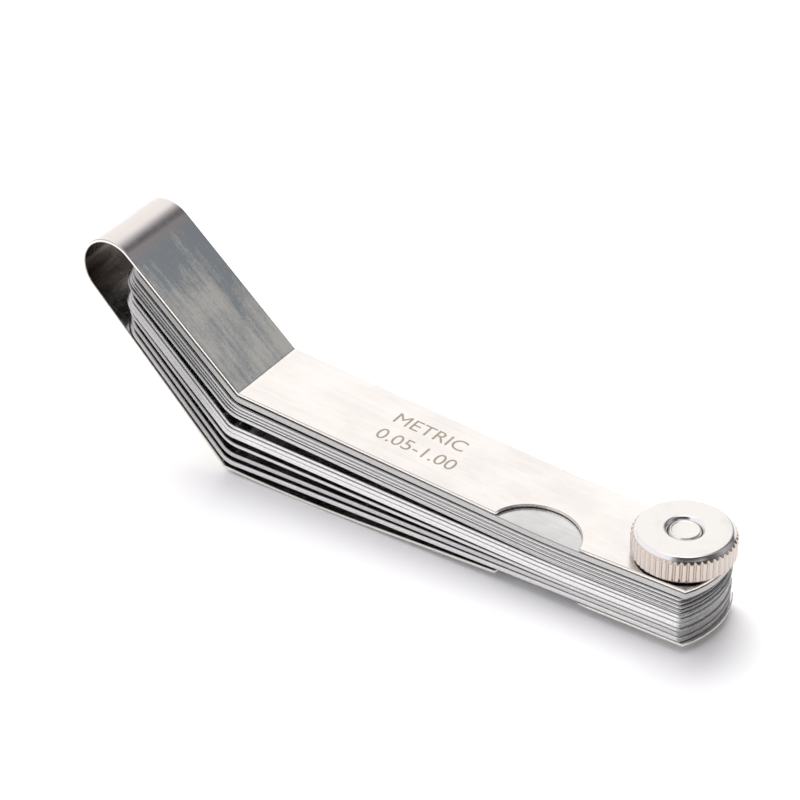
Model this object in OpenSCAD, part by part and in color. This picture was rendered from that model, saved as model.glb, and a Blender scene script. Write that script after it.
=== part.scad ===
// Feeler gauge with bent blades. Sixteen blades lie between the two plates of a folded strip
// holder, on a pivot screw with a knurled lock nut. Millimetres, +Z up. The origin is on the
// pivot axis, in the plane that the tool rests on, and the blades run towards -X.

/* [Holder] */
// Width of the strip and of the blades
strip_w = 13.6; // [12:0.1:16]
// Thickness of the holder's strip
plate_t = 0.5; // [0.4:0.05:0.8]
// Distance from the pivot axis to the lower plate's elbow
pivot_to_elbow = 70.2; // [62:0.1:80]
// Height of the lower plate's elbow above the plate's lowest point
elbow_rise = 0.45; // [0.35:0.05:0.6]
// Distance from the elbow to the lowest point of the bowed lower plate
elbow_to_low = 14.2; // [12:0.1:16]
// Distance from the pivot axis to the end of the plates and blades
pivot_to_end = 6; // [5:0.1:8]
// Radius of the end arc of the plates and blades
end_r = 13.7; // [8:0.1:30]
// Angle of the lower plate's bent arm above the ground
arm_angle = 45.6; // [40:0.1:50]
// Angle between the two bent arms, which sets the line across them at the U-bend
arm_taper = 2.9; // [1:0.1:4]
// Length of the lower plate's bent arm, up to the U-bend
arm_len = 31.8; // [30:0.1:45]
// Inner radius of the holder's sharp elbows
holder_bend_r = 0.5; // [0.2:0.1:1]
// Radius of the thumb notch in both plates
notch_r = 6.6; // [5:0.1:8]
// Distance from the pivot axis to the middle of the notch
notch_x = 18.5; // [16:0.1:40]
// Distance of the notch's centre outside the front edge
notch_out = 1.1; // [0:0.1:3]

/* [Blades] */
// Distance from a blade's elbow to its tip
tip_len = 24.3; // [20:0.1:24.3]
// Radius of the two rounded corners at a blade's tip
tip_r = 2.6; // [1:0.1:6]
// How far an elbow's gap, on its way to the tips, is still open where it turns into the arm
arm_gap_share = 0.5; // [0.4:0.05:0.7]
// Distance from the pivot axis where the layers begin to fan out
fan_start = 10; // [9.8:0.1:12]
// Distance from the pivot axis where the layers run straight again
fan_end = 22; // [18:0.1:26]

/* [Pivot screw, washer and nut] */
// Diameter of the screw's shank
screw_d = 4.5; // [4:0.1:5]
// Diameter of the screw's flat head, under the lower plate
head_d = 10; // [8:0.1:12]
// Height of the screw's head
head_h = 1.3; // [0.9:0.1:1.5]
// Diameter of the clamp washer
washer_d = 9.4; // [8:0.1:12]
// Thickness of the clamp washer
washer_t = 0.3; // [0.3:0.05:0.8]
// Diameter of the nut over its knurl
nut_d = 14.2; // [12:0.1:16]
// Height of the nut
nut_h = 3.9; // [3:0.1:5]
// Number of knurl teeth round the nut
knurl_teeth = 48; // [30:1:60]
// Radial clearance of the shank in the plates, blades, washer and nut
shank_clearance = 0.05; // [0.03:0.01:0.1]

/* [Hidden] */
// The layers above the lower plate, from the lowest blade to the upper plate: thickness, gap
// under it at the pivot, at the elbow and at the tips, radius of its elbow, turn about the
// pivot, and how far its end arc stands back from the plates' end
LAYERS = [
    [0.80, 0.050, 0.45, 0.12, 3.0, -0.05, 0.4],
    [0.75, 0.030, 0.62, 0.10, 3.0, -0.14, 0.5],
    [0.60, 0.030, 1.12, 0.14, 4.0, -0.18, 0.3],
    [0.90, 0.030, 1.00, 0.14, 2.0, -0.04, 0.5],
    [0.70, 0.030, 0.06, 0.04, 2.0, 0.08, 0.4],
    [0.55, 0.030, 0.06, 0.04, 2.0, 0.02, 0.5],
    [0.25, 0.100, 1.35, 0.18, 4.5, -0.10, 0.3],
    [0.30, 0.046, 0.03, 0.05, 4.5, 0.04, 0.5],
    [0.20, 0.046, 0.03, 0.04, 4.5, 0.14, 0.4],
    [0.35, 0.046, 0.03, 0.05, 4.5, 0.00, 0.5],
    [0.15, 0.046, 0.03, 0.04, 4.5, -0.12, 0.3],
    [0.40, 0.046, 0.03, 0.05, 4.5, 0.06, 0.6],
    [0.10, 0.046, 0.03, 0.04, 4.5, -0.06, 0.8],
    [0.50, 0.046, 0.03, 0.05, 4.5, 0.08, 0.8],
    [0.05, 0.046, 0.03, 0.04, 4.5, -0.04, 0.9],
    [1.00, 0.060, 0.40, 0.20, 1.8, 0.05, 0],
    [plate_t, 0.050, 0.15, 0.05, holder_bend_r, 0, 0],
];
T = 0;
PIVOT_GAP = 1;
ELBOW_GAP = 2;
TIP_GAP = 3;
BEND_R = 4;
TURN = 5;
SET_BACK = 6;
last = len(LAYERS) - 1;

// Steps of the curves in a strip's side view
fan_steps = 6;
bow_steps = 8;
bend_steps = 6;
u_bend_steps = 32;

hole_d = screw_d + 2 * shank_clearance;
// Width across the two flats that stop the screw turning in the lower plate
flats_share = 0.84;
neck_flats = flats_share * screw_d;
screw_chamfer = 0.25;
screw_below_nut_top = 0.2;
nut_chamfer = 0.6;
nut_chamfer_w = 0.45;
nut_foot = 0.1;
knurl_depth = 0.3;
knurl_rise = 0.05;
crest_share = 0.22;
countersink_h = 0.4;
// How far a cutting solid runs past what it cuts, and how far a rounding arc does
past = 1;
arc_overrun = 0.01;
$fn = 96;

function blade_name(i) =
    let (hundredths = round(LAYERS[i][T] * 100))
    str("blade_", hundredths < 10 ? "00" : hundredths < 100 ? "0" : "", hundredths);

function unit(v) = v / norm(v);
function reversed(v) = [for (i = [len(v) - 1 : -1 : 0]) v[i]];
function sum_to(i, column) = i < 0 ? 0 : LAYERS[i][column] + sum_to(i - 1, column);
function direction(angle) = [cos(angle), sin(angle)];
function turned(v, angle) = [v.x * cos(angle) - v.y * sin(angle), v.x * sin(angle) + v.y * cos(angle)];

// A strip's normal, towards the inside of the folded holder
function normal(d) = [d.y, -d.x];

// Where the face opposite a corner lies, for a strip of thickness t that turns from d1 to d2
function across(p, d1, d2, t) =
    let (n1 = normal(d1), n2 = normal(d2))
    p + t * (n1 + n2) / (1 + n1 * n2);

// Rise of a layer of slope 1 at distance u from the pivot axis: flat, then curved, then straight
fan_middle = (fan_start + fan_end) / 2;
function fan(u) =
    u < fan_start ? 0
    : u < fan_end ? pow(u - fan_start, 2) / (2 * (fan_end - fan_start))
    : u - fan_middle;

// One face of a layer round the pivot, up to where it runs straight
function fan_path(pivot_z, slope) =
    let (fan_step = (fan_end - fan_start) / fan_steps)
    concat(
        [[pivot_to_end, pivot_z]],
        [for (u = [fan_start : fan_step : fan_end + fan_step / 2]) [-u, pivot_z + slope * fan(u)]]
    );

// Points of the arc of radius r that rounds the corner b between a and c
function bend(a, b, c, r) =
    let (
        d1 = unit(b - a),
        d2 = unit(c - b),
        turn = atan2(cross(d1, d2), d1 * d2),
        start = b - r * tan(abs(turn) / 2) * d1,
        to_centre = r * sign(turn) * [-d1.y, d1.x]
    )
    [for (k = [0 : bend_steps]) start + to_centre - turned(to_centre, turn * k / bend_steps)];

// One face of a layer in the side view, from the pivot end over the elbow to the tip
function face_path(pivot_z, corner, tip, r) =
    let (
        slope = (corner.y - pivot_z) / fan(-corner.x),
        long_side = fan_path(pivot_z, slope)
    )
    concat(long_side, bend(long_side[fan_steps + 1], corner, tip, r), [tip]);

// Outline of a strip of thickness t whose outer face follows the path
function strip_outline(path, t) =
    let (
        n = len(path) - 1,
        d = [for (i = [0 : n - 1]) unit(path[i + 1] - path[i])],
        inner = [for (i = [0 : n]) across(path[i], d[max(i - 1, 0)], d[min(i, n - 1)], t)]
    )
    concat(path, reversed(inner));

// Heights of the layers' lower faces at the pivot
function pivot_z(i) = head_h + plate_t + sum_to(i - 1, T) + sum_to(i, PIVOT_GAP);

// The lower plate runs down from the screw's head, then bows up again to its elbow
bow_low = pivot_to_elbow - elbow_to_low;
bow_curve = elbow_rise / pow(elbow_to_low, 2);
bow_len = bow_low - fan_middle - sqrt(pow(bow_low - fan_middle, 2) - head_h / bow_curve);
bow_step = (elbow_to_low + bow_len) / bow_steps;
function bow(u) = [-u, bow_curve * pow(u - bow_low, 2)];

// The lower plate's outer face: its elbow, and the point where its arm meets the U-bend
lower_elbow = bow(pivot_to_elbow);
lower_long = unit(lower_elbow - bow(pivot_to_elbow - bow_step));
lower_arm = direction(180 - arm_angle);
lower_tangent = lower_elbow + arm_len * lower_arm;

// The U-bend fits round the layers at their tips
u_r = (plate_t + sum_to(last, T) + sum_to(last, TIP_GAP)) / 2;
u_centre = lower_tangent + u_r * normal(lower_arm);

// Where a layer's lower face passes the line across the arms at the start of the U-bend
across_arms = normal(direction(180 - arm_angle + arm_taper / 2));
function arm_end(i) = lower_tangent + across_arms * (plate_t + sum_to(i - 1, T) + sum_to(i, TIP_GAP));

// Long side and bent arm of the layer whose lower face has this elbow corner
function long_direction(z, corner) = unit([-1, (corner.y - z) / fan(-corner.x)]);
function arm_direction(i, corner) = unit(arm_end(i) - corner);

// A layer's corner lies a gap above the upper corner of the layer below, leaning so that the
// gap narrows where it turns into the arm
function gap_step(i) =
    let (
        gap = LAYERS[i][ELBOW_GAP],
        arm_gap = arm_gap_share * gap + (1 - arm_gap_share) * LAYERS[i][TIP_GAP]
    )
    [(arm_gap - gap * cos(arm_angle)) / sin(arm_angle), gap];
function next_corner(i, corner) =
    across(corner, long_direction(pivot_z(i), corner), arm_direction(i, corner), LAYERS[i][T])
    + gap_step(i + 1);
first_corner = across(lower_elbow, lower_long, lower_arm, plate_t) + gap_step(0);
corners = [
    for (
        i = 0, corner = first_corner;
        i <= last;
        corner = i < last ? next_corner(i, corner) : corner, i = i + 1
    )
        corner
];

// The upper plate's inner face runs from its corner to the inside of the U-bend
upper_inner_corner = corners[last];
to_u_centre = u_centre - upper_inner_corner;
upper_arm = direction(
    atan2(to_u_centre.y, to_u_centre.x) - asin((u_r - plate_t) / norm(to_u_centre))
);
upper_corner = across(
    upper_inner_corner, long_direction(pivot_z(last), upper_inner_corner), upper_arm, plate_t
);
upper_tangent = u_centre + u_r * normal(upper_arm);

// Heights of the pieces on the screw above the plates
plates_top = pivot_z(last) + plate_t;
nut_z = plates_top + washer_t;
screw_top = nut_z + nut_h - screw_below_nut_top;

// The folded strip's outer face, from the lower plate's end round to the upper plate's end
u_start = atan2(-normal(lower_arm).y, -normal(lower_arm).x) + 360;
u_end = atan2(normal(upper_arm).y, normal(upper_arm).x);
u_bend_path = [
    for (k = [1 : u_bend_steps - 1])
        u_centre + u_r * direction(u_start + (u_end - u_start) * k / u_bend_steps)
];
lower_path = concat(
    fan_path(head_h, -2 * bow_curve * bow_len),
    [for (k = [bow_steps : -1 : 1]) bow(pivot_to_elbow - k * bow_step)]
);
holder_path = concat(
    lower_path,
    bend(lower_path[len(lower_path) - 1], lower_elbow, lower_tangent, holder_bend_r + plate_t),
    [lower_tangent],
    u_bend_path,
    reversed(face_path(plates_top, upper_corner, upper_tangent, holder_bend_r))
);

// A strip bent to an outline in the side view, as wide as the tool
module bent_strip(path, t) {
    rotate([90, 0, 0])
        linear_extrude(strip_w, center = true)
            polygon(strip_outline(path, t));
}

// What is cut away outside the end arc of a strip that reaches this far past the pivot axis
module end_trim(reach) {
    difference() {
        translate([0, -strip_w, 0])
            cube([pivot_to_end + past, 2 * strip_w, screw_top]);
        translate([reach - end_r, 0, -past])
            cylinder(h = screw_top + 2 * past, r = end_r);
    }
}

// What is cut away at a blade's tip, which points along +X here. The arcs run a little past
// the edges, so that no cut is tangent to a face.
module tip_trim(t) {
    for (side = [-1, 1])
        difference() {
            translate([-tip_r, side > 0 ? strip_w / 2 - tip_r : -strip_w / 2 - past, -t - past])
                cube([tip_r + past, tip_r + past, 2 * (t + past)]);
            translate([-tip_r, side * (strip_w / 2 - tip_r), -t - 2 * past])
                cylinder(h = 2 * (t + 2 * past), r = tip_r + arc_overrun);
        }
}

// A round bar with two flats
module double_d(d, flats, h) {
    intersection() {
        cylinder(h = h, d = d);
        translate([-d, -flats / 2, -past])
            cube([2 * d, flats, h + 2 * past]);
    }
}

module holder() {
    color("gainsboro")
    difference() {
        bent_strip(holder_path, plate_t);
        end_trim(pivot_to_end);
        translate([-notch_x, -strip_w / 2 - notch_out, -past])
            cylinder(h = screw_top, r = notch_r);
        translate([0, 0, head_h - plate_t])
            double_d(hole_d, neck_flats + 2 * shank_clearance, 3 * plate_t);
        translate([0, 0, plates_top - 2 * plate_t])
            cylinder(h = 3 * plate_t, d = hole_d);
    }
}

module pivot_screw() {
    neck_top = head_h + plate_t;
    color("silver") {
        cylinder(h = head_h, d = head_d);
        translate([0, 0, head_h])
            double_d(screw_d, neck_flats, plate_t);
        translate([0, 0, neck_top])
            cylinder(h = screw_top - screw_chamfer - neck_top, d = screw_d);
        translate([0, 0, screw_top - screw_chamfer])
            cylinder(h = screw_chamfer, d1 = screw_d, d2 = screw_d - 2 * screw_chamfer);
    }
}

module clamp_washer() {
    color("lightgray")
    translate([0, 0, plates_top])
        difference() {
            cylinder(h = washer_t, d = washer_d);
            translate([0, 0, -past])
                cylinder(h = washer_t + 2 * past, d = hole_d);
        }
}

// The knurl in plan: teeth with a narrow flat crest and a sharp root
function knurl_outline() =
    let (pitch = 360 / knurl_teeth, crest_r = nut_d / 2, root_r = nut_d / 2 - knurl_depth)
    [
        for (k = [0 : knurl_teeth - 1])
            for (p = [[crest_r, -crest_share], [crest_r, crest_share], [root_r, 0.5]])
                p[0] * direction((k + p[1]) * pitch)
    ];

// The knurled band stands proud of a plain foot and a chamfered top
module lock_nut() {
    plain_r = nut_d / 2 - knurl_depth - knurl_rise;
    color("silver")
    translate([0, 0, nut_z])
        difference() {
            union() {
                cylinder(h = nut_foot, r = plain_r);
                translate([0, 0, nut_foot])
                    linear_extrude(nut_h - nut_chamfer - nut_foot)
                        polygon(knurl_outline());
                translate([0, 0, nut_h - nut_chamfer])
                    cylinder(h = nut_chamfer, r1 = plain_r, r2 = plain_r - nut_chamfer_w);
            }
            translate([0, 0, -past])
                cylinder(h = nut_h + 2 * past, d = hole_d);
            translate([0, 0, nut_h - countersink_h])
                cylinder(h = 2 * countersink_h, d1 = hole_d, d2 = hole_d + 4 * countersink_h);
        }
}

module blade(i) {
    t = LAYERS[i][T];
    arm = arm_direction(i, corners[i]);
    tip = corners[i] + tip_len * arm;
    path = face_path(pivot_z(i), corners[i], tip, LAYERS[i][BEND_R] + t / 2);
    color([0.70 + 0.2 * t, 0.72 + 0.2 * t, 0.75 + 0.2 * t])
    rotate([0, 0, LAYERS[i][TURN]])
        difference() {
            bent_strip(path, t);
            end_trim(pivot_to_end - LAYERS[i][SET_BACK]);
            translate([0, 0, -past])
                cylinder(h = screw_top, d = hole_d);
            translate([tip.x, 0, tip.y])
                rotate([0, -atan2(arm.y, arm.x), 0])
                    tip_trim(t);
        }
}

holder();
pivot_screw();
clamp_washer();
lock_nut();
for (i = [0 : last - 1])
    blade(i);
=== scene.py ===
import math
from bisect import bisect_right

import bmesh
import bpy
import numpy as np
from mathutils import Matrix, Vector
from mathutils.geometry import delaunay_2d_cdt


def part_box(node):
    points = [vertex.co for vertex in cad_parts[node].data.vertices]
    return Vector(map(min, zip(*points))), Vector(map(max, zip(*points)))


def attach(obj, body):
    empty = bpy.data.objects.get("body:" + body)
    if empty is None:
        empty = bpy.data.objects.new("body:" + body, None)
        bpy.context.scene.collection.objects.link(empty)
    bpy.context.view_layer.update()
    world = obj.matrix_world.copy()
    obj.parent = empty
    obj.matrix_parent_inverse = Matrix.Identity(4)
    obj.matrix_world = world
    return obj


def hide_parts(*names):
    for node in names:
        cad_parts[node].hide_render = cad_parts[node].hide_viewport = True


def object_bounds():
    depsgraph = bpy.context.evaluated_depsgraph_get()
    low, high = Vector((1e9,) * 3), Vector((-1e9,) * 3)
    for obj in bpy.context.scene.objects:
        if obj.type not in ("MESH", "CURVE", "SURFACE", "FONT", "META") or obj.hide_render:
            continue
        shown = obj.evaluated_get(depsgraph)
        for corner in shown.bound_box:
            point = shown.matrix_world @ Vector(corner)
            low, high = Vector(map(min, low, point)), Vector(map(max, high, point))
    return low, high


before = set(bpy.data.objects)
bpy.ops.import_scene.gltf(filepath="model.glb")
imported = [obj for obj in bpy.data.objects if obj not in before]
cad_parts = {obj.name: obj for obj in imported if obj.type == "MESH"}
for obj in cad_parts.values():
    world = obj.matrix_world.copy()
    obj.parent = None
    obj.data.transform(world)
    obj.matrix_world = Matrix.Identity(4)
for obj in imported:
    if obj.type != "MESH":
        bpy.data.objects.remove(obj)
cad_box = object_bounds()

# A feeler gauge: bent blades and a folded strip holder on a pivot screw, clamped by a knurled
# nut. Metres. The strips are built flat, in s along the strip from the pivot axis and y across
# it, and are then bent along the side view that their CAD nodes have.
MM = 0.001

# Where a strip is cut to read its side view: clear of its holes, notch and rounded corners
CUT_Y = 4 * MM
# Stretch of the straight blades, in x, that tells how far a blade is turned about the pivot
STRETCH = (-75 * MM, -60 * MM)
# Points closer than WELD are one; a point closer than STRAIGHT to a line is on it
WELD = 1e-7
STRAIGHT = 3e-7
# Corners sharper than SHARP_CORNER part a side view's faces from its ends. An elbow is where the
# strip, followed from its nearer end, has turned by more than HALF_ELBOW.
SHARP_CORNER = math.radians(60)
HALF_ELBOW = math.radians(20)

# The flat outline, past what the frame gives: tip corners, holes, the flats in the lower plate's
# hole, and the thumb notches, whose centres lie NOTCH_OUT outside the front edge
TIP_R = 2.6 * MM
HOLE_R = 2.3 * MM
NECK_FLATS = 3.88 * MM
NO_FLATS = 4 * HOLE_R
NOTCH_R = 6.6 * MM
NOTCH_S = 18.5 * MM
NOTCH_OUT = 1.1 * MM
ARC_STEP = math.radians(7.5)
# The rounded edges: their radius, and the most of the thickness that it takes up
EDGE_R = 0.18 * MM
EDGE_SHARE = 0.42
EDGE_STEPS = 3

BLADES = [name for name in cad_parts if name.startswith("blade_")]
holder_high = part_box("holder")[1]
HALF_W = holder_high.y
END_X = holder_high.x


# ---------------------------------------------------------------- side views from the frame
def side_loop(node):
    """The node's turn about the pivot axis, and its side view as a closed loop of (x, z)."""
    bm = bmesh.new()
    bm.from_mesh(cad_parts[node].data)
    bmesh.ops.remove_doubles(bm, verts=bm.verts, dist=WELD)
    turn = 0.0
    if node in BLADES:
        straight = [v.co for v in bm.verts if STRETCH[0] < v.co.x < STRETCH[1]]
        middle = sum(straight, Vector()) / len(straight)
        turn = math.atan2(-middle.y, -middle.x)
    bmesh.ops.rotate(bm, verts=bm.verts, matrix=Matrix.Rotation(-turn, 3, "Z"))
    everything = bm.verts[:] + bm.edges[:] + bm.faces[:]
    cut = bmesh.ops.bisect_plane(bm, geom=everything, plane_co=(0, CUT_Y, 0), plane_no=(0, 1, 0))
    beside = {}
    for edge in cut["geom_cut"]:
        if isinstance(edge, bmesh.types.BMEdge):
            a, b = edge.verts
            beside.setdefault(a, []).append(b)
            beside.setdefault(b, []).append(a)
    start = max(beside, key=lambda v: v.co.x)
    loop, before, here = [start], None, start
    while True:
        ahead = next(v for v in beside[here] if v is not before)
        if ahead is start:
            break
        loop.append(ahead)
        before, here = here, ahead
    points = [Vector((v.co.x, v.co.z)) for v in loop]
    bm.free()
    return turn, without_straight_points(points)


def without_straight_points(points):
    """The closed loop without the points that lie on the line between their neighbours."""
    points = list(points)
    i = 0
    while i < len(points):
        a, b, c = points[i - 1], points[i], points[(i + 1) % len(points)]
        chord = c - a
        off_line = abs(chord.cross(b - a)) / max(chord.length, WELD)
        if off_line < STRAIGHT and (b - a).dot(c - b) > 0 or (b - a).length < WELD:
            points.pop(i)
        else:
            i += 1
    return points


def turning(a, b, c):
    """The angle by which the way from a to c turns at b."""
    return abs((b - a).angle_signed(c - b))


def offset_chain(points, step):
    """The chain at a constant distance beside the points, that starts a step from the first."""
    ways = [(b - a).normalized() for a, b in zip(points, points[1:])]
    side = 1 if step.x * ways[0].y - step.y * ways[0].x > 0 else -1
    normals = [Vector((way.y, -way.x)) * side for way in ways]
    found = []
    for point, before, after in zip(points, normals[:1] + normals, normals + normals[-1:]):
        found.append(point + (before + after) * (step.length / (1 + before.dot(after))))
    return found


class SidePath:
    """A bent strip's two faces in the side view, and distances along its middle."""

    def __init__(self, node):
        self.turn, loop = side_loop(node)
        count = len(loop)
        corners = [
            i for i in range(count)
            if turning(loop[i - 1], loop[i], loop[(i + 1) % count]) > SHARP_CORNER
        ]
        chains = []
        for i, first in enumerate(corners):
            length = (corners[(i + 1) % len(corners)] - first) % count
            chains.append([loop[(first + k) % count] for k in range(length + 1)])
        chains = sorted(chains, key=len)[-2:]
        outer, inner = sorted(chains, key=self.length_of, reverse=True)
        inner = inner[::-1]
        if self.nearness(outer[0]) < self.nearness(outer[-1]):
            outer, inner = outer[::-1], inner[::-1]
        self.thickness = (outer[0] - inner[0]).length
        self.outer, self.inner = outer, offset_chain(outer, inner[0] - outer[0])
        inner = self.inner
        self.s = [-outer[0].x]
        for k in range(len(outer) - 1):
            step = (outer[k + 1] + inner[k + 1]) / 2 - (outer[k] + inner[k]) / 2
            self.s.append(self.s[-1] + step.length)

    @staticmethod
    def nearness(point):
        """Largest at the strip's first end: past the pivot, and the lower of the holder's two."""
        return round(point.x / WELD), -point.y

    @staticmethod
    def length_of(chain):
        return sum((b - a).length for a, b in zip(chain, chain[1:]))

    def far_bend(self):
        """The s of the U-bend's middle, the point furthest up and away from the pivot."""
        return max(zip(self.outer, self.s), key=lambda pair: pair[0].y - pair[0].x)[1]

    def elbows(self):
        """The s of the first and the last bend by more than half an elbow."""
        ways = [b - a for a, b in zip(self.outer, self.outer[1:])]
        first = next(k for k, way in enumerate(ways) if way.angle(ways[0]) > HALF_ELBOW)
        last = max(k for k, way in enumerate(ways) if way.angle(ways[-1]) > HALF_ELBOW)
        return self.s[first], self.s[last + 1]

    def place(self, s, y, depth):
        """The point at s, y and a depth that runs from 0 on the outer face to 1 on the inner."""
        k = min(max(bisect_right(self.s, s) - 1, 0), len(self.s) - 2)
        share = (s - self.s[k]) / (self.s[k + 1] - self.s[k])
        outer = self.outer[k] + (self.outer[k + 1] - self.outer[k]) * share
        inner = self.inner[k] + (self.inner[k + 1] - self.inner[k]) * share
        flat = outer + (inner - outer) * depth
        return Matrix.Rotation(self.turn, 3, "Z") @ Vector((flat.x, y, flat.y))


paths = {node: SidePath(node) for node in ["holder"] + BLADES}
end_rise = END_X - paths["holder"].outer[0].x
END_R = (end_rise ** 2 + CUT_Y ** 2) / (2 * end_rise)


def reach_of(node):
    """How far a strip's end arc reaches past the pivot axis."""
    return paths[node].outer[0].x + end_rise


# ---------------------------------------------------------------- flat outlines
def arc(s, y, radius, start, end):
    """Points on an arc between two angles, both ends included."""
    steps = max(2, math.ceil(abs(end - start) / ARC_STEP))
    angles = [start + (end - start) * k / steps for k in range(steps + 1)]
    return [(s + radius * math.cos(a), y + radius * math.sin(a)) for a in angles]


class Outline:
    """A strip's flat outline with its notches, each an s, and its holes, each an s and the width
    across its flats. It reaches past the pivot axis, and far_end is the s of the tip's edge, or
    of the far pivot axis on a folded strip, whose two ends are alike."""

    def __init__(self, reach, far_end, folded, notches=(), holes=()):
        self.near = END_R - reach
        self.far_end = far_end
        self.folded = folded
        self.notches = notches
        self.holes = holes

    def loops(self, inset):
        """The outline and the holes, each as a closed loop, moved into the sheet by inset."""
        half = HALF_W - inset
        radius = END_R - inset
        lean = math.asin(half / radius)
        edge = arc(self.near, 0, radius, math.pi - lean, math.pi + lean)
        for s in self.notches:
            opening = NOTCH_R + inset
            foot = math.asin((NOTCH_OUT + inset) / opening)
            edge += arc(s, -HALF_W - NOTCH_OUT, opening, math.pi - foot, foot)
        if self.folded:
            edge += arc(self.far_end - self.near, 0, radius, -lean, lean)
        else:
            corner = TIP_R - inset
            for side, start in ((-1, -math.pi / 2), (1, 0)):
                centre = side * (HALF_W - TIP_R)
                edge += arc(self.far_end - TIP_R, centre, corner, start, start + math.pi / 2)
        found = [edge]
        for s, flats in self.holes:
            reach = HOLE_R + inset
            half_turn = math.asin(min(1, (flats / 2 + inset) / reach))
            hole = arc(s, 0, reach, -half_turn, half_turn)
            hole += arc(s, 0, reach, math.pi - half_turn, math.pi + half_turn)
            found.append([p for i, p in enumerate(hole) if math.dist(p, hole[i - 1]) > WELD])
        return found

    def depth_inside(self, s, y):
        """Distance from a point of the sheet to its nearest edge."""
        found = [HALF_W - abs(y)]
        if s < self.near:
            found.append(END_R - math.hypot(s - self.near, y))
        if self.folded:
            far = self.far_end - self.near
            if s > far:
                found.append(END_R - math.hypot(s - far, y))
        else:
            along = TIP_R - (self.far_end - s)
            across = TIP_R - (HALF_W - abs(y))
            found.append(TIP_R - along)
            if along > 0 and across > 0:
                found.append(TIP_R - math.hypot(along, across))
        for notch in self.notches:
            found.append(math.hypot(s - notch, y + HALF_W + NOTCH_OUT) - NOTCH_R)
        for hole, flats in self.holes:
            found.append(max(math.hypot(s - hole, y) - HOLE_R, abs(y) - flats / 2))
        return max(0.0, min(found))


def inside(points, loops):
    """Which points lie inside an odd number of the loops."""
    px, py = points[:, :1], points[:, 1:]
    odd = np.zeros(len(points), bool)
    for loop in loops:
        a = np.array(loop)
        b = np.roll(a, -1, axis=0)
        spans = (a[:, 1] > py) != (b[:, 1] > py)
        rise = np.where(a[:, 1] == b[:, 1], 1.0, b[:, 1] - a[:, 1])
        meets = a[:, 0] + (py - a[:, 1]) * (b[:, 0] - a[:, 0]) / rise
        odd ^= ((spans & (px < meets)).sum(axis=1) % 2).astype(bool)
    return odd


def flat_sheet(outline, bend_lines, edge_r):
    """The outline as triangles, with rings for the rounded edges and a line at each bend."""
    insets = [edge_r * (1 - math.cos(math.pi / 2 * k / EDGE_STEPS)) for k in range(EDGE_STEPS + 1)]
    corners, edges = [], []
    for inset in insets:
        for loop in outline.loops(inset):
            first = len(corners)
            corners += loop
            edges += [(first + k, first + (k + 1) % len(loop)) for k in range(len(loop))]
    for s in bend_lines:
        edges.append((len(corners), len(corners) + 1))
        corners += [(s, -HALF_W - MM), (s, HALF_W + MM)]
    made = delaunay_2d_cdt([Vector(c) for c in corners], edges, [], 0, WELD, False)
    points = np.array([tuple(v) for v in made[0]])
    triangles = np.array(made[2])
    keep = inside(points[triangles].mean(axis=1), outline.loops(0))
    return points, triangles[keep]


# ---------------------------------------------------------------- pieces
def smooth_piece(name, verts, faces, body, node):
    """A mesh piece with smooth shading and face-weighted normals that stands for a CAD node."""
    mesh = bpy.data.meshes.new(name)
    mesh.from_pydata(verts, [], faces)
    mesh.validate()
    mesh.shade_smooth()
    piece = bpy.data.objects.new(name, mesh)
    bpy.context.scene.collection.objects.link(piece)
    weighted = piece.modifiers.new("even_faces", "WEIGHTED_NORMAL")
    weighted.keep_sharp = True
    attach(piece, body)
    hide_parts(node)
    return piece


def bent_strip(name, node, outline, body):
    """A strip with rounded edges, bent along the node's side view."""
    path = paths[node]
    edge_r = min(EDGE_R, EDGE_SHARE * path.thickness)
    points, triangles = flat_sheet(outline, path.s[1:-1], edge_r)
    used = np.unique(triangles)
    index = {int(old): new for new, old in enumerate(used)}
    count = len(used)
    verts, strip, rim = [], [], []
    depths = [outline.depth_inside(*points[i]) for i in used]
    for face in (0, 1):
        for i, depth in zip(used, depths):
            s, y = points[i]
            short = max(0.0, edge_r - depth)
            sunk = (edge_r - math.sqrt(edge_r ** 2 - short ** 2)) / path.thickness
            verts.append(path.place(s, y, sunk if face == 0 else 1 - sunk))
            strip.append((s, y, face * path.thickness))
            rim.append(short / edge_r)
    faces, border = [], {}
    for triangle in triangles:
        a, b, c = (index[int(i)] for i in triangle)
        faces.append((a, b, c))
        faces.append((c + count, b + count, a + count))
        for edge in ((a, b), (b, c), (c, a)):
            if edge[::-1] in border:
                del border[edge[::-1]]
            else:
                border[edge] = True
    faces += [(b, a, a + count, b + count) for a, b in border]
    piece = smooth_piece(name, verts, faces, body, node)
    attribute = piece.data.attributes.new("strip", "FLOAT_VECTOR", "POINT")
    attribute.data.foreach_set("vector", np.array(strip, np.float32).ravel())
    attribute = piece.data.attributes.new("rim", "FLOAT", "POINT")
    attribute.data.foreach_set("value", np.array(rim, np.float32))
    return piece


def lathe(name, profile, samples, body, node, radius=None):
    """A turned piece from a closed profile of (r, z); radius may change r with the angle."""
    verts, faces = [], []
    for k in range(samples):
        angle = 2 * math.pi * k / samples
        for r, z in profile:
            reach = radius(r, z, angle) if radius else r
            verts.append((reach * math.cos(angle), reach * math.sin(angle), z))
    rings = len(profile)
    for k in range(samples):
        here, ahead = k * rings, (k + 1) % samples * rings
        for i in range(rings):
            j = (i + 1) % rings
            if profile[i][0] == 0 and profile[j][0] == 0:
                continue
            faces.append((here + i, ahead + i, ahead + j, here + j))
    piece = smooth_piece(name, verts, faces, body, node)
    bm = bmesh.new()
    bm.from_mesh(piece.data)
    bmesh.ops.remove_doubles(bm, verts=bm.verts, dist=WELD)
    bmesh.ops.recalc_face_normals(bm, faces=bm.faces)
    bm.to_mesh(piece.data)
    bm.free()
    return piece


# A rounded corner takes up at most a side's length divided by this
SIDE_PARTS = 2.2


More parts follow.
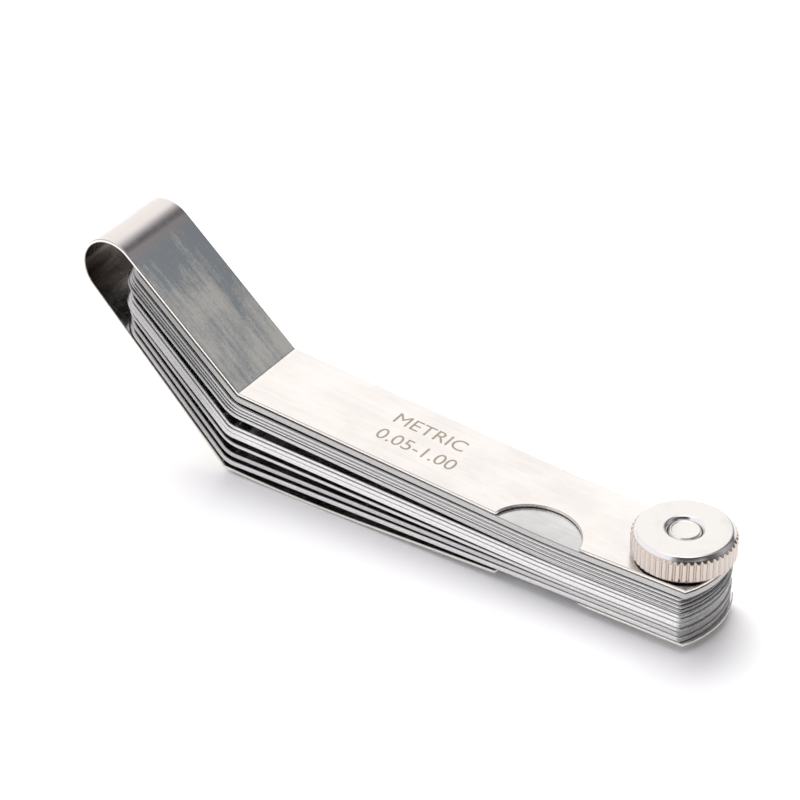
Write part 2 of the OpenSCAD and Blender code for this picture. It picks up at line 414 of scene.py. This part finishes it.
def rounded(profile, radius, steps=3):
    """A closed profile with each corner off the axis rounded, as far as its sides allow."""
    found = []
    for i, corner in enumerate(profile):
        b = Vector(corner)
        a, c = Vector(profile[i - 1]), Vector(profile[(i + 1) % len(profile)])
        if b.x == 0:
            found.append((b.x, b.y))
            continue
        reach = min(radius, (a - b).length / SIDE_PARTS, (c - b).length / SIDE_PARTS)
        start, end = b + (a - b).normalized() * reach, b + (c - b).normalized() * reach
        for k in range(steps + 1):
            t = k / steps
            p = start * (1 - t) ** 2 + b * 2 * t * (1 - t) + end * t ** 2
            found.append((p.x, p.y))
    return found


# ---------------------------------------------------------------- node trees
class Tree:
    """Adds nodes to a tree and links them."""

    def __init__(self, tree):
        self.tree = tree
        tree.nodes.clear()

    def add(self, kind, inputs=None, **settings):
        node = self.tree.nodes.new(kind)
        for key, value in settings.items():
            setattr(node, key, value)
        for key, value in (inputs or {}).items():
            if isinstance(value, bpy.types.NodeSocket):
                self.tree.links.new(value, node.inputs[key])
            else:
                node.inputs[key].default_value = value
        return node

    def noise(self, vector, scale, detail=3.0, rough=0.55):
        settings = {"Vector": vector, "Scale": scale, "Detail": detail, "Roughness": rough}
        return self.add("ShaderNodeTexNoise", settings).outputs["Fac"]

    def stretched(self, vector, scale):
        scaled = self.add("ShaderNodeVectorMath", {0: vector, 1: scale}, operation="MULTIPLY")
        return scaled.outputs["Vector"]

    def remap(self, value, low, high, to_low, to_high):
        settings = {
            "Value": value, "From Min": low, "From Max": high, "To Min": to_low, "To Max": to_high,
        }
        return self.add("ShaderNodeMapRange", settings).outputs["Result"]

    def math(self, operation, a, b=0.0):
        return self.add("ShaderNodeMath", {0: a, 1: b}, operation=operation).outputs[0]

    def mix(self, share, a, b):
        settings = {"Factor": share, "A": a, "B": b}
        node = self.add("ShaderNodeMix", data_type="RGBA")
        for key, value in settings.items():
            socket = next(s for s in node.inputs if s.name == key and s.enabled)
            if isinstance(value, bpy.types.NodeSocket):
                self.tree.links.new(value, socket)
            else:
                socket.default_value = value
        return next(s for s in node.outputs if s.enabled)


def new_material(name):
    material = bpy.data.materials.new(name)
    material.use_nodes = True
    return material, Tree(material.node_tree)


def strip_grain(tree, place):
    """Noises along a strip: fine and broad rolling lines, cloudy patches, and sparse scratches."""
    fine = tree.noise(tree.stretched(place, (120, 14000, 1)), 1.0, 4.0, 0.6)
    broad = tree.noise(tree.stretched(place, (60, 1400, 1)), 1.0, 3.0, 0.5)
    cloud = tree.noise(tree.stretched(place, (130, 210, 1)), 1.0, 4.0, 0.6)
    scratch = tree.noise(tree.stretched(place, (420, 9000, 1)), 1.0, 2.0, 0.4)
    return fine, broad, cloud, tree.remap(scratch, 0.66, 0.74, 0.0, 1.0)


def with_stains(tree, colour, place, along, up, broad, scratch):
    """The holder's face colour: stained arms, a dull U-bend, and painted shade inside the bend."""
    first, last = ELBOWS
    off = tree.math("ABSOLUTE", tree.math("SUBTRACT", along, BEND_S))
    stain = tree.noise(tree.stretched(place, (70, 95, 1)), 1.0, 5.0, 0.6)
    stain = tree.math("ADD", tree.math("MULTIPLY", stain, 0.7), tree.math("MULTIPLY", broad, 0.3))
    # The arms grow darker and cooler towards the U-bend
    stain = tree.math("ADD", stain, tree.remap(off, TINT_REACH[0], BEND_S - first, -0.06, 0.09))
    stain = tree.math("ADD", stain, tree.math("MULTIPLY", scratch, 0.12))
    speck = tree.noise(tree.stretched(place, (2600, 3400, 1)), 1.0, 2.0, 0.6)
    stain = tree.math("ADD", stain, tree.remap(speck, 0.3, 0.7, -0.04, 0.04))
    stained = tree.mix(tree.remap(stain, 0.42, 0.58, 0.0, 1.0), STAIN_COOL, STAIN_WARM)
    past_first = tree.remap(along, first - STAIN_BLUR, first + STAIN_BLUR, 0.0, STAIN_SHARE)
    before_last = tree.remap(along, last - STAIN_BLUR, last + STAIN_BLUR, 1.0, 0.0)
    on_arm = tree.math("MULTIPLY", past_first, before_last)
    off_bend = tree.remap(off, BEND_REACH, TINT_REACH[0], 0.0, 1.0)
    colour = tree.mix(on_arm, colour, tree.mix(off_bend, BEND_FACE, stained))
    near_bend = tree.remap(off, *TINT_REACH, 1.0, 0.0)
    inner = tree.remap(up, 0.0, paths["holder"].thickness, 0.0, 1.0)
    # Painted shade on the inner face near the U-bend's middle
    return tree.mix(tree.math("MULTIPLY", near_bend, inner), colour, U_INSIDE_PAINTED_SHADE)


def with_edges(tree, colour, place, along, rim, edge, end_arc_shade, arm_edge_shade):
    """The colour with painted shade along the edge's rounding, and a speckled edge with more
    painted shade round the pivot's end of the strip and past its elbow."""
    grain_at = tree.noise(tree.stretched(place, (3000, 9000, 30000)), 1.0, 2.0, 0.6)
    # The colour of the painted shade along the edge's rounding, also the colour of the edge's
    # speckle
    dull = tuple(EDGE_SHADE_AND_SPECKLE * v for v in edge[:3]) + (1,)
    shade_grey = (PAINTED_SHADE_GREY, PAINTED_SHADE_GREY, 1.03 * PAINTED_SHADE_GREY, 1)
    edge_colour = tree.mix(tree.remap(grain_at, 0.42, 0.68, 0.0, 0.6), edge, dull)
    # Painted shade, speckled, on the end arc round the pivot and on the edges past the elbow
    at_end = tree.remap(along, *END_ARC_PAINTED_SHADE, end_arc_shade, 0.0)
    at_end = tree.math("MULTIPLY", at_end, tree.remap(grain_at, 0.35, 0.60, 0.45, 1.15))
    at_arm = tree.remap(along, *ARM_EDGE_PAINTED_SHADE, 0.0, arm_edge_shade)
    edge_colour = tree.mix(tree.math("ADD", at_end, at_arm), edge_colour, shade_grey)
    # Painted shade along the edge's rounding
    colour = tree.mix(tree.remap(rim, 0.10, 0.45, 0.0, 1.0), colour, dull)
    return tree.mix(tree.remap(rim, 0.80, 0.97, 0.0, 1.0), colour, edge_colour)


def metal_output(tree, colour, rough, height, strength, distance):
    """Ends a material: bare metal of this colour and roughness, with the height as a bump."""
    settings = {"Height": height, "Strength": strength, "Distance": distance}
    bump = tree.add("ShaderNodeBump", settings)
    shader = tree.add("ShaderNodeBsdfPrincipled", {
        "Base Color": colour, "Metallic": 1.0, "Roughness": rough, "Normal": bump.outputs[0],
    })
    tree.add("ShaderNodeOutputMaterial", {"Surface": shader.outputs[0]})


def sheet_metal(
    name, face, face_dark, edge, roughness, grain, seed, end_arc_shade=0.0, arm_edge_shade=0.0, folded=False
):
    """Rolled sheet: fine lines along the strip, cloudy patches, scratches and rounded edges, with
    painted shade on its edges and end arcs. A folded sheet is stained as well, and has painted
    shade inside its U-bend."""
    material, tree = new_material(name)
    strip = tree.add("ShaderNodeAttribute", attribute_name="strip").outputs["Vector"]
    rim = tree.add("ShaderNodeAttribute", attribute_name="rim").outputs["Fac"]
    parts = tree.add("ShaderNodeSeparateXYZ", {0: strip})
    along, up = parts.outputs["X"], parts.outputs["Z"]
    place = tree.add("ShaderNodeVectorMath", {0: strip, 1: (seed, seed, seed)}, operation="ADD")
    place = place.outputs["Vector"]
    fine, broad, cloud, scratch = strip_grain(tree, place)
    shade = tree.math("ADD", tree.math("MULTIPLY", cloud, 0.65), tree.math("MULTIPLY", broad, 0.35))
    colour = tree.mix(tree.remap(shade, 0.35, 0.65, 0.0, 1.0), face, face_dark)
    if folded:
        colour = with_stains(tree, colour, place, along, up, broad, scratch)
    colour = with_edges(tree, colour, place, along, rim, edge, end_arc_shade, arm_edge_shade)
    rough = tree.math("ADD", tree.remap(fine, 0.3, 0.7, -grain, grain), roughness)
    rough = tree.math("ADD", rough, tree.remap(cloud, 0.35, 0.65, -0.05, 0.05))
    rough = tree.math("ADD", rough, tree.math("MULTIPLY", scratch, 0.12))
    rough = tree.math("ADD", rough, tree.math("MULTIPLY", rim, 0.12))
    height = tree.math("ADD", tree.math("MULTIPLY", fine, 0.6), tree.math("MULTIPLY", broad, 0.4))
    height = tree.math("SUBTRACT", height, tree.math("MULTIPLY", scratch, 0.3))
    metal_output(tree, colour, rough, height, strength=0.12, distance=0.03 * MM)
    return material


def turned_metal(name, colour, groove_colour, roughness, ring_scale, dirt=0.5):
    """Turned and plated metal: rings round the axis, small pits and darker grooves."""
    material, tree = new_material(name)
    place = tree.add("ShaderNodeTexCoord").outputs["Object"]
    parts = tree.add("ShaderNodeSeparateXYZ", {0: place})
    x, y, z = parts.outputs
    squares = tree.math("MULTIPLY", x, x), tree.math("MULTIPLY", y, y)
    r = tree.math("SQRT", tree.math("ADD", *squares))
    rings_at = tree.add("ShaderNodeCombineXYZ", {"X": r, "Z": z}).outputs[0]
    rings = tree.noise(tree.stretched(rings_at, (ring_scale, 1, ring_scale)), 1.0, 3.0, 0.6)
    pits = tree.noise(place, 5200.0, 2.0, 0.5)
    cloud = tree.noise(place, 420.0, 3.0, 0.5)
    groove = tree.add("ShaderNodeAttribute", attribute_name="groove").outputs["Fac"]
    tinted = tree.mix(tree.math("MULTIPLY", groove, dirt), colour, groove_colour)
    darker = tree.mix(0.10, colour, (0.0, 0.0, 0.0, 1))
    tinted = tree.mix(tree.remap(cloud, 0.55, 0.75, 0.0, 0.6), tinted, darker)
    rough = tree.math("ADD", tree.remap(rings, 0.3, 0.7, -0.04, 0.05), roughness)
    rough = tree.math("ADD", rough, tree.remap(pits, 0.6, 0.8, 0.0, 0.08))
    height = tree.math("ADD", tree.math("MULTIPLY", rings, 0.7), tree.math("MULTIPLY", pits, 0.3))
    metal_output(tree, tinted, rough, height, strength=0.10, distance=0.02 * MM)
    return material


INK_DARK = (0.25, 0.21, 0.17, 1)
INK_LIGHT = (0.42, 0.37, 0.31, 1)


def etched_ink(name):
    """The dull brown-grey of an electro-etched mark."""
    material, tree = new_material(name)
    place = tree.add("ShaderNodeTexCoord").outputs["Object"]
    speckle = tree.noise(place, 9000.0, 2.0, 0.6)
    colour = tree.mix(tree.remap(speckle, 0.4, 0.7, 0.0, 1.0), INK_DARK, INK_LIGHT)
    rough = tree.remap(speckle, 0.3, 0.7, 0.45, 0.65)
    settings = {"Base Color": colour, "Metallic": 0.3, "Roughness": rough}
    shader = tree.add("ShaderNodeBsdfPrincipled", settings)
    tree.add("ShaderNodeOutputMaterial", {"Surface": shader.outputs[0]})
    return material


FAR_PIVOT = paths["holder"].s[-1] + paths["holder"].s[0]
BEND_S = paths["holder"].far_bend()
ELBOWS = paths["holder"].elbows()

# Painted shade on the inside of the U-bend: its colour, and how far it reaches from the bend's
# middle
U_INSIDE_PAINTED_SHADE = (0.12, 0.10, 0.09, 1)
TINT_REACH = (9 * MM, 15 * MM)

# The stains on the holder's bent arms, its duller U-bend, and how far that reaches each way
STAIN_COOL = (0.50, 0.55, 0.57, 1)
STAIN_WARM = (1.0, 0.98, 0.90, 1)
STAIN_SHARE = 0.95
STAIN_BLUR = 0.5 * MM
BEND_FACE = (0.60, 0.565, 0.56, 1)
BEND_REACH = 7.5 * MM

# Painted shade: where it stops on a blade's end arc, and where it grows on its edges past the elbow
END_ARC_PAINTED_SHADE = (-3.7 * MM, -3.1 * MM)
ARM_EDGE_PAINTED_SHADE = (66 * MM, 76 * MM)
# The share of the edge colour in the painted shade along an edge's rounding and in its speckle
EDGE_SHADE_AND_SPECKLE = 0.42
# The grey of the painted shade on the end arcs and on the edges past the elbow
PAINTED_SHADE_GREY = 0.19

# Edges that stand out from the others: painted highlights on the group of three, and a darker top
# blade
EDGE_TONES = {"blade_090": 0.97, "blade_070": 0.97, "blade_055": 0.92, "blade_100": 0.57}

MATERIALS = {
    "holder_sheet": sheet_metal(
        "holder_sheet",
        face=(0.74, 0.71, 0.705, 1), face_dark=(0.68, 0.655, 0.65, 1), edge=(0.97, 0.92, 0.86, 1),
        roughness=0.20, grain=0.05, seed=0.31, folded=True,
    ),
    "nickel_plate": turned_metal(
        "nickel_plate", (0.67, 0.655, 0.65, 1), (0.54, 0.455, 0.39, 1),
        roughness=0.14, ring_scale=9000.0, dirt=0.95,
    ),
    "screw_steel": turned_metal(
        "screw_steel", (0.68, 0.665, 0.65, 1), (0.50, 0.42, 0.35, 1),
        roughness=0.20, ring_scale=7000.0,
    ),
    "washer_steel": turned_metal(
        "washer_steel", (0.62, 0.61, 0.59, 1), (0.50, 0.42, 0.35, 1),
        roughness=0.28, ring_scale=7000.0,
    ),
    "etched_ink": etched_ink("etched_ink"),
}


def finish_with(piece, slot, material=None):
    piece.data.materials.append(material or MATERIALS[slot])


# ---------------------------------------------------------------- the strips
holder = bent_strip(
    "holder_strip", "holder",
    Outline(
        reach_of("holder"), FAR_PIVOT, folded=True,
        notches=(NOTCH_S, FAR_PIVOT - NOTCH_S),
        holes=((0, NECK_FLATS), (FAR_PIVOT, NO_FLATS)),
    ),
    "holder",
)
finish_with(holder, "holder_sheet")

# The blades differ a little in tone, roughness and edge
for number, node in enumerate(BLADES):
    outline = Outline(reach_of(node), paths[node].s[-1], folded=False, holes=((0, NO_FLATS),))
    blade = bent_strip("leaf_" + node[-3:], node, outline, node)
    tone = 0.60 + 0.03 * (number * 7 % 5)
    # Each blade's edge tone, with painted highlights on the group of three
    edge_tone = EDGE_TONES.get(node, 0.72 + 0.06 * (number * 3 % 4))
    material = sheet_metal(
        "gauge_steel_" + node[-3:],
        face=(tone, tone, tone + 0.01, 1),
        face_dark=(tone - 0.1, tone - 0.1, tone - 0.09, 1),
        edge=(edge_tone, edge_tone - 0.01, edge_tone - 0.02, 1),
        roughness=0.20 + 0.02 * (number % 3), grain=0.06, seed=1.7 + number,
        # Painted shade on the end arcs, least on the top blade that stands proud, and on the edges
        # past the elbow
        end_arc_shade=0.2 if node == "blade_100" else 1.0, arm_edge_shade=0.65,
    )
    finish_with(blade, "gauge_steel", material)


# ---------------------------------------------------------------- screw, washer and nut
# The nut's teeth, chamfer and recess, the screw's thread, the rounded edges, and the dish in the
# screw's end. A tooth's crest and flank are shares of half the way to the next tooth.
TEETH = 48
TOOTH_DEPTH = 0.3 * MM
TOOTH_SAMPLES = 10
TOOTH_CREST = 0.26
TOOTH_FLANK = 0.66
TEETH_BELOW_TOP = 0.62 * MM
TEETH_RUN_OUT = 0.25 * MM
CHAMFER_W = 0.47 * MM
RECESS_R = 2.72 * MM
THREAD_PITCH = 0.8 * MM
THREAD_DEPTH = 0.35 * MM
THREAD_RINGS = 36
STUD_CHAMFER = 0.25 * MM
SMALL_EDGE = 0.08 * MM
HEAD_EDGE = 0.15 * MM
WASHER_EDGE = 0.12 * MM
NUT_EDGE = 0.2 * MM
DISH = 0.06 * MM
SAMPLES = 96

nut_low, nut_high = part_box("lock_nut")
screw_low, screw_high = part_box("pivot_screw")
washer_low, washer_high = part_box("clamp_washer")
CREST_R = nut_high.x
ROOT_R = CREST_R - TOOTH_DEPTH
PLATE_TOP = washer_low.z
HEAD_H = paths["holder"].outer[0].y
SHANK_R = HOLE_R - 0.05 * MM


def tooth_radius(angle):
    """Radius of the knurl: rounded crests and narrower grooves."""
    phase = (angle * TEETH / (2 * math.pi)) % 1.0
    from_crest = abs(phase - round(phase)) * 2
    share = min(max((from_crest - TOOTH_CREST) / TOOTH_FLANK, 0.0), 1.0)
    return CREST_R - TOOTH_DEPTH * (1 - math.cos(math.pi * share)) / 2


def knurl(r, z, angle):
    """The nut's radius: the teeth cut whatever reaches past their roots."""
    return min(r, tooth_radius(angle)) if r > ROOT_R - SMALL_EDGE else r


def threaded(r, z, angle):
    """The screw's radius: a right-hand thread above the upper plate."""
    if not PLATE_TOP < z < screw_high.z - 2 * STUD_CHAMFER or r < SHANK_R - SMALL_EDGE:
        return r
    phase = (z / THREAD_PITCH - angle / (2 * math.pi)) % 1.0
    return r - THREAD_DEPTH * max(0.0, 1 - abs(2 * phase - 1) * 1.25)


nut_top, nut_bottom = nut_high.z, nut_low.z
TEETH_END = nut_top - TEETH_BELOW_TOP
nut_profile = rounded(
    [
        (HOLE_R, nut_bottom), (ROOT_R - 0.06 * MM, nut_bottom),
        (ROOT_R - 0.04 * MM, nut_bottom + 0.12 * MM), (CREST_R, nut_bottom + 0.34 * MM),
        (CREST_R, TEETH_END - TEETH_RUN_OUT), (ROOT_R, TEETH_END),
        (ROOT_R - CHAMFER_W, nut_top), (RECESS_R, nut_top), (HOLE_R, nut_top - 0.50 * MM),
    ],
    NUT_EDGE,
    steps=4,
)
nut = lathe("knurled_nut", nut_profile, TEETH * TOOTH_SAMPLES, "lock_nut", "lock_nut", knurl)
# The teeth are browner than the top, most of all in their grooves
groove = nut.data.attributes.new("groove", "FLOAT", "POINT")
for vertex, value in zip(nut.data.vertices, groove.data):
    reach = math.hypot(vertex.co.x, vertex.co.y)
    low = vertex.co.z < TEETH_END + 0.1 * MM and reach > ROOT_R - 0.4 * MM
    value.value = min(1.0, 0.55 + 0.45 * (CREST_R - reach) / TOOTH_DEPTH) if low else 0.0
finish_with(nut, "nickel_plate")

screw_end = screw_high.z
head_r = screw_high.x
thread_rings = [
    (SHANK_R, PLATE_TOP + (screw_end - STUD_CHAMFER - PLATE_TOP) * k / THREAD_RINGS)
    for k in range(THREAD_RINGS + 1)
]
head = [(0, screw_low.z), (head_r, screw_low.z), (head_r, HEAD_H), (SHANK_R, HEAD_H)]
# The head's two outer corners, each rounded to four points, after its point on the axis
head_edge = rounded(head, HEAD_EDGE)[1:9]
screw_profile = (
    [head[0]] + head_edge + [head[-1]]
    + thread_rings
    + [(SHANK_R - 0.9 * STUD_CHAMFER, screw_end - 0.08 * MM)]
    + [(SHANK_R - STUD_CHAMFER, screw_end - 0.02 * MM), (SHANK_R - 1.15 * STUD_CHAMFER, screw_end)]
    + [(SHANK_R - 1.6 * STUD_CHAMFER, screw_end), (SHANK_R - 1.9 * STUD_CHAMFER, screw_end - DISH)]
    + [(SHANK_R - 2.2 * STUD_CHAMFER, screw_end - 1.2 * DISH), (0, screw_end - DISH)]
)
screw = lathe("pivot_stud", screw_profile, SAMPLES, "holder", "pivot_screw", threaded)
finish_with(screw, "screw_steel")

washer_r = washer_high.x
washer_bottom = [(HOLE_R, washer_low.z), (washer_r, washer_low.z)]
washer_top = [(washer_r, washer_high.z), (HOLE_R, washer_high.z)]
washer_profile = rounded(washer_bottom + washer_top, WASHER_EDGE)
washer = lathe("thrust_washer", washer_profile, SAMPLES, "clamp_washer", "clamp_washer")
finish_with(washer, "washer_steel")


# ---------------------------------------------------------------- etched marks
MARK_RISE = 0.003 * MM


def etched_mark(name, text, node, body, s, y, size, depth):
    """Text laid on a strip, s along it at the text's middle; depth says which face."""
    curve = bpy.data.curves.new(name + "_curve", "FONT")
    curve.body = text
    curve.size = size
    curve.align_x = "CENTER"
    curve.align_y = "CENTER"
    curve.extrude = MARK_RISE
    source = bpy.data.objects.new(name + "_source", curve)
    bpy.context.scene.collection.objects.link(source)
    bpy.context.view_layer.update()
    mesh = bpy.data.meshes.new_from_object(source)
    bpy.data.objects.remove(source)
    bpy.data.curves.remove(curve)
    path = paths[node]
    way = -1 if depth == 1 or node != "holder" else 1
    for vertex in mesh.vertices:
        x, across, up = vertex.co
        lift = (up + MARK_RISE) / 2 / path.thickness
        out = lift if depth == 1 else -lift
        vertex.co = path.place(s + way * x, y + across, depth + out)
    mesh.name = name
    mark = bpy.data.objects.new(name, mesh)
    bpy.context.scene.collection.objects.link(mark)
    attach(mark, body)
    finish_with(mark, "holder_sheet" if node == "holder" else "gauge_steel", MATERIALS["etched_ink"])


# Each line of text on the upper plate: name, text, distance from the pivot axis, and y
PLATE_TEXT = [
    ("mark_upper", "METRIC", 41.5 * MM, 2.3 * MM),
    ("mark_lower", "0.05-1.00", 41.0 * MM, -2.0 * MM),
]
PLATE_TEXT_SIZE = 3.4 * MM
BLADE_TEXT_SIZE = 4.2 * MM
BLADE_TEXT_S = 42 * MM

for name, text, from_pivot, y in PLATE_TEXT:
    etched_mark(name, text, "holder", "holder", FAR_PIVOT - from_pivot, y, PLATE_TEXT_SIZE, 0)
for node in BLADES:
    thickness = node[-3] + "." + node[-2:]
    etched_mark("mark_" + node[-3:], thickness, node, node, BLADE_TEXT_S, 0, BLADE_TEXT_SIZE, 1)


# ---------------------------------------------------------------- floor, light and camera
FLOOR_SIZE = 3.0


def add_floor():
    mesh = bpy.data.meshes.new("floor")
    bm = bmesh.new()
    bmesh.ops.create_grid(bm, x_segments=2, y_segments=2, size=FLOOR_SIZE)
    bm.to_mesh(mesh)
    bm.free()
    floor = bpy.data.objects.new("floor", mesh)
    bpy.context.scene.collection.objects.link(floor)
    material, tree = new_material("floor")
    settings = {"Base Color": (0.93, 0.93, 0.93, 1), "Roughness": 0.6}
    shader = tree.add("ShaderNodeBsdfPrincipled", settings)
    shader.inputs["Specular IOR Level"].default_value = 0.2
    tree.add("ShaderNodeOutputMaterial", {"Surface": shader.outputs[0]})
    mesh.materials.append(material)


# Surroundings: grey at each azimuth in degrees from +Y towards +X, and the tints of the stretches
# brighter than BRIGHT and of the others. Past FRONT_AZIMUTH and below FRONT_LOW all is FRONT_GREY,
# and above CEILING_HIGH all is CEILING. Heights are the Z of the direction; a pair is a soft step.
SURROUNDINGS = [
    (-180, 0.87), (-75, 0.87), (-50, 0.92), (-24, 0.92), (-9, 0.56), (8, 0.22), (19, 0.10),
    (26, 0.12), (36, 0.28), (58, 0.38), (80, 0.12), (105, 0.05), (163, 0.05), (178, 0.45),
]
BRIGHT = 0.9
BRIGHT_TINT = (1.02, 1.0, 0.965)
SHADE_TINT = (1.0, 0.985, 1.02)
FRONT_GREY = (0.46, 0.455, 0.46, 1)
FRONT_AZIMUTH = (math.radians(95), math.radians(112))
FRONT_LOW = (0.59, 0.63)
CEILING = (1.2, 1.18, 1.22, 1)
CEILING_HIGH = (0.86, 0.97)
WORLD_STRENGTH = 1.5


def add_world():
    """Soft white surroundings with darker stretches behind, to the right and in front."""
    world = bpy.data.worlds.new("studio")
    world.use_nodes = True
    bpy.context.scene.world = world
    tree = Tree(world.node_tree)
    way = tree.add("ShaderNodeTexCoord").outputs["Generated"]
    parts = tree.add("ShaderNodeSeparateXYZ", {0: way})
    angle = tree.math("ARCTAN2", parts.outputs["X"], parts.outputs["Y"])
    share = tree.remap(angle, -math.pi, math.pi, 0.0, 1.0)
    ramp = tree.add("ShaderNodeValToRGB", {"Fac": share})
    elements = ramp.color_ramp.elements
    while len(elements) > 1:
        elements.remove(elements[-1])
    for k, (degrees, grey) in enumerate(SURROUNDINGS):
        at = (degrees + 180) / 360
        element = elements[0] if k == 0 else elements.new(at)
        element.position = at
        tint = BRIGHT_TINT if grey > BRIGHT else SHADE_TINT
        element.color = tuple(grey * t for t in tint) + (1,)
    low = tree.remap(parts.outputs["Z"], *FRONT_LOW, 1.0, 0.0)
    front = tree.remap(angle, *FRONT_AZIMUTH, 0.0, 1.0)
    colour = tree.mix(tree.math("MULTIPLY", low, front), ramp.outputs["Color"], FRONT_GREY)
    high = tree.remap(parts.outputs["Z"], *CEILING_HIGH, 0.0, 1.0)
    colour = tree.mix(high, colour, CEILING)
    background = tree.add("ShaderNodeBackground", {"Color": colour, "Strength": WORLD_STRENGTH})
    tree.add("ShaderNodeOutputWorld", {"Surface": background.outputs[0]})


def add_area(name, place, target, size, watts, colour):
    data = bpy.data.lights.new(name, "AREA")
    data.shape = "DISK"
    data.size = size
    data.energy = watts
    data.color = colour
    light = bpy.data.objects.new(name, data)
    light.location = place
    light.rotation_euler = (Vector(target) - Vector(place)).to_track_quat("-Z", "Y").to_euler()
    light.visible_glossy = False
    bpy.context.scene.collection.objects.link(light)


CAMERA_AZIMUTH = math.radians(33.9)
CAMERA_ELEVATION = math.radians(34.5)
CAMERA_DISTANCE = 472.5 * MM
CAMERA_LENS = 155.5
# The camera looks at a point this far from the middle of the object's box
CAMERA_AIM = Vector((-2.5, 1.5, 0.9)) * MM


def add_camera():
    low, high = cad_box
    target = (Vector(low) + Vector(high)) / 2 + CAMERA_AIM
    azimuth, elevation = CAMERA_AZIMUTH, CAMERA_ELEVATION
    back = Vector((
        math.sin(azimuth) * math.cos(elevation),
        -math.cos(azimuth) * math.cos(elevation),
        math.sin(elevation),
    ))
    data = bpy.data.cameras.new("camera")
    data.lens = CAMERA_LENS
    camera = bpy.data.objects.new("camera", data)
    camera.location = target + back * CAMERA_DISTANCE
    camera.rotation_euler = back.to_track_quat("Z", "Y").to_euler()
    bpy.context.scene.collection.objects.link(camera)
    bpy.context.scene.camera = camera


add_floor()
add_world()
add_area(
    "key", place=(-0.45, 0.45, 0.8), target=(-0.04, 0, 0), size=1.0, watts=7.5,
    colour=(1.0, 0.99, 0.965),
)
add_camera()
bpy.context.scene.view_settings.view_transform = "Standard"
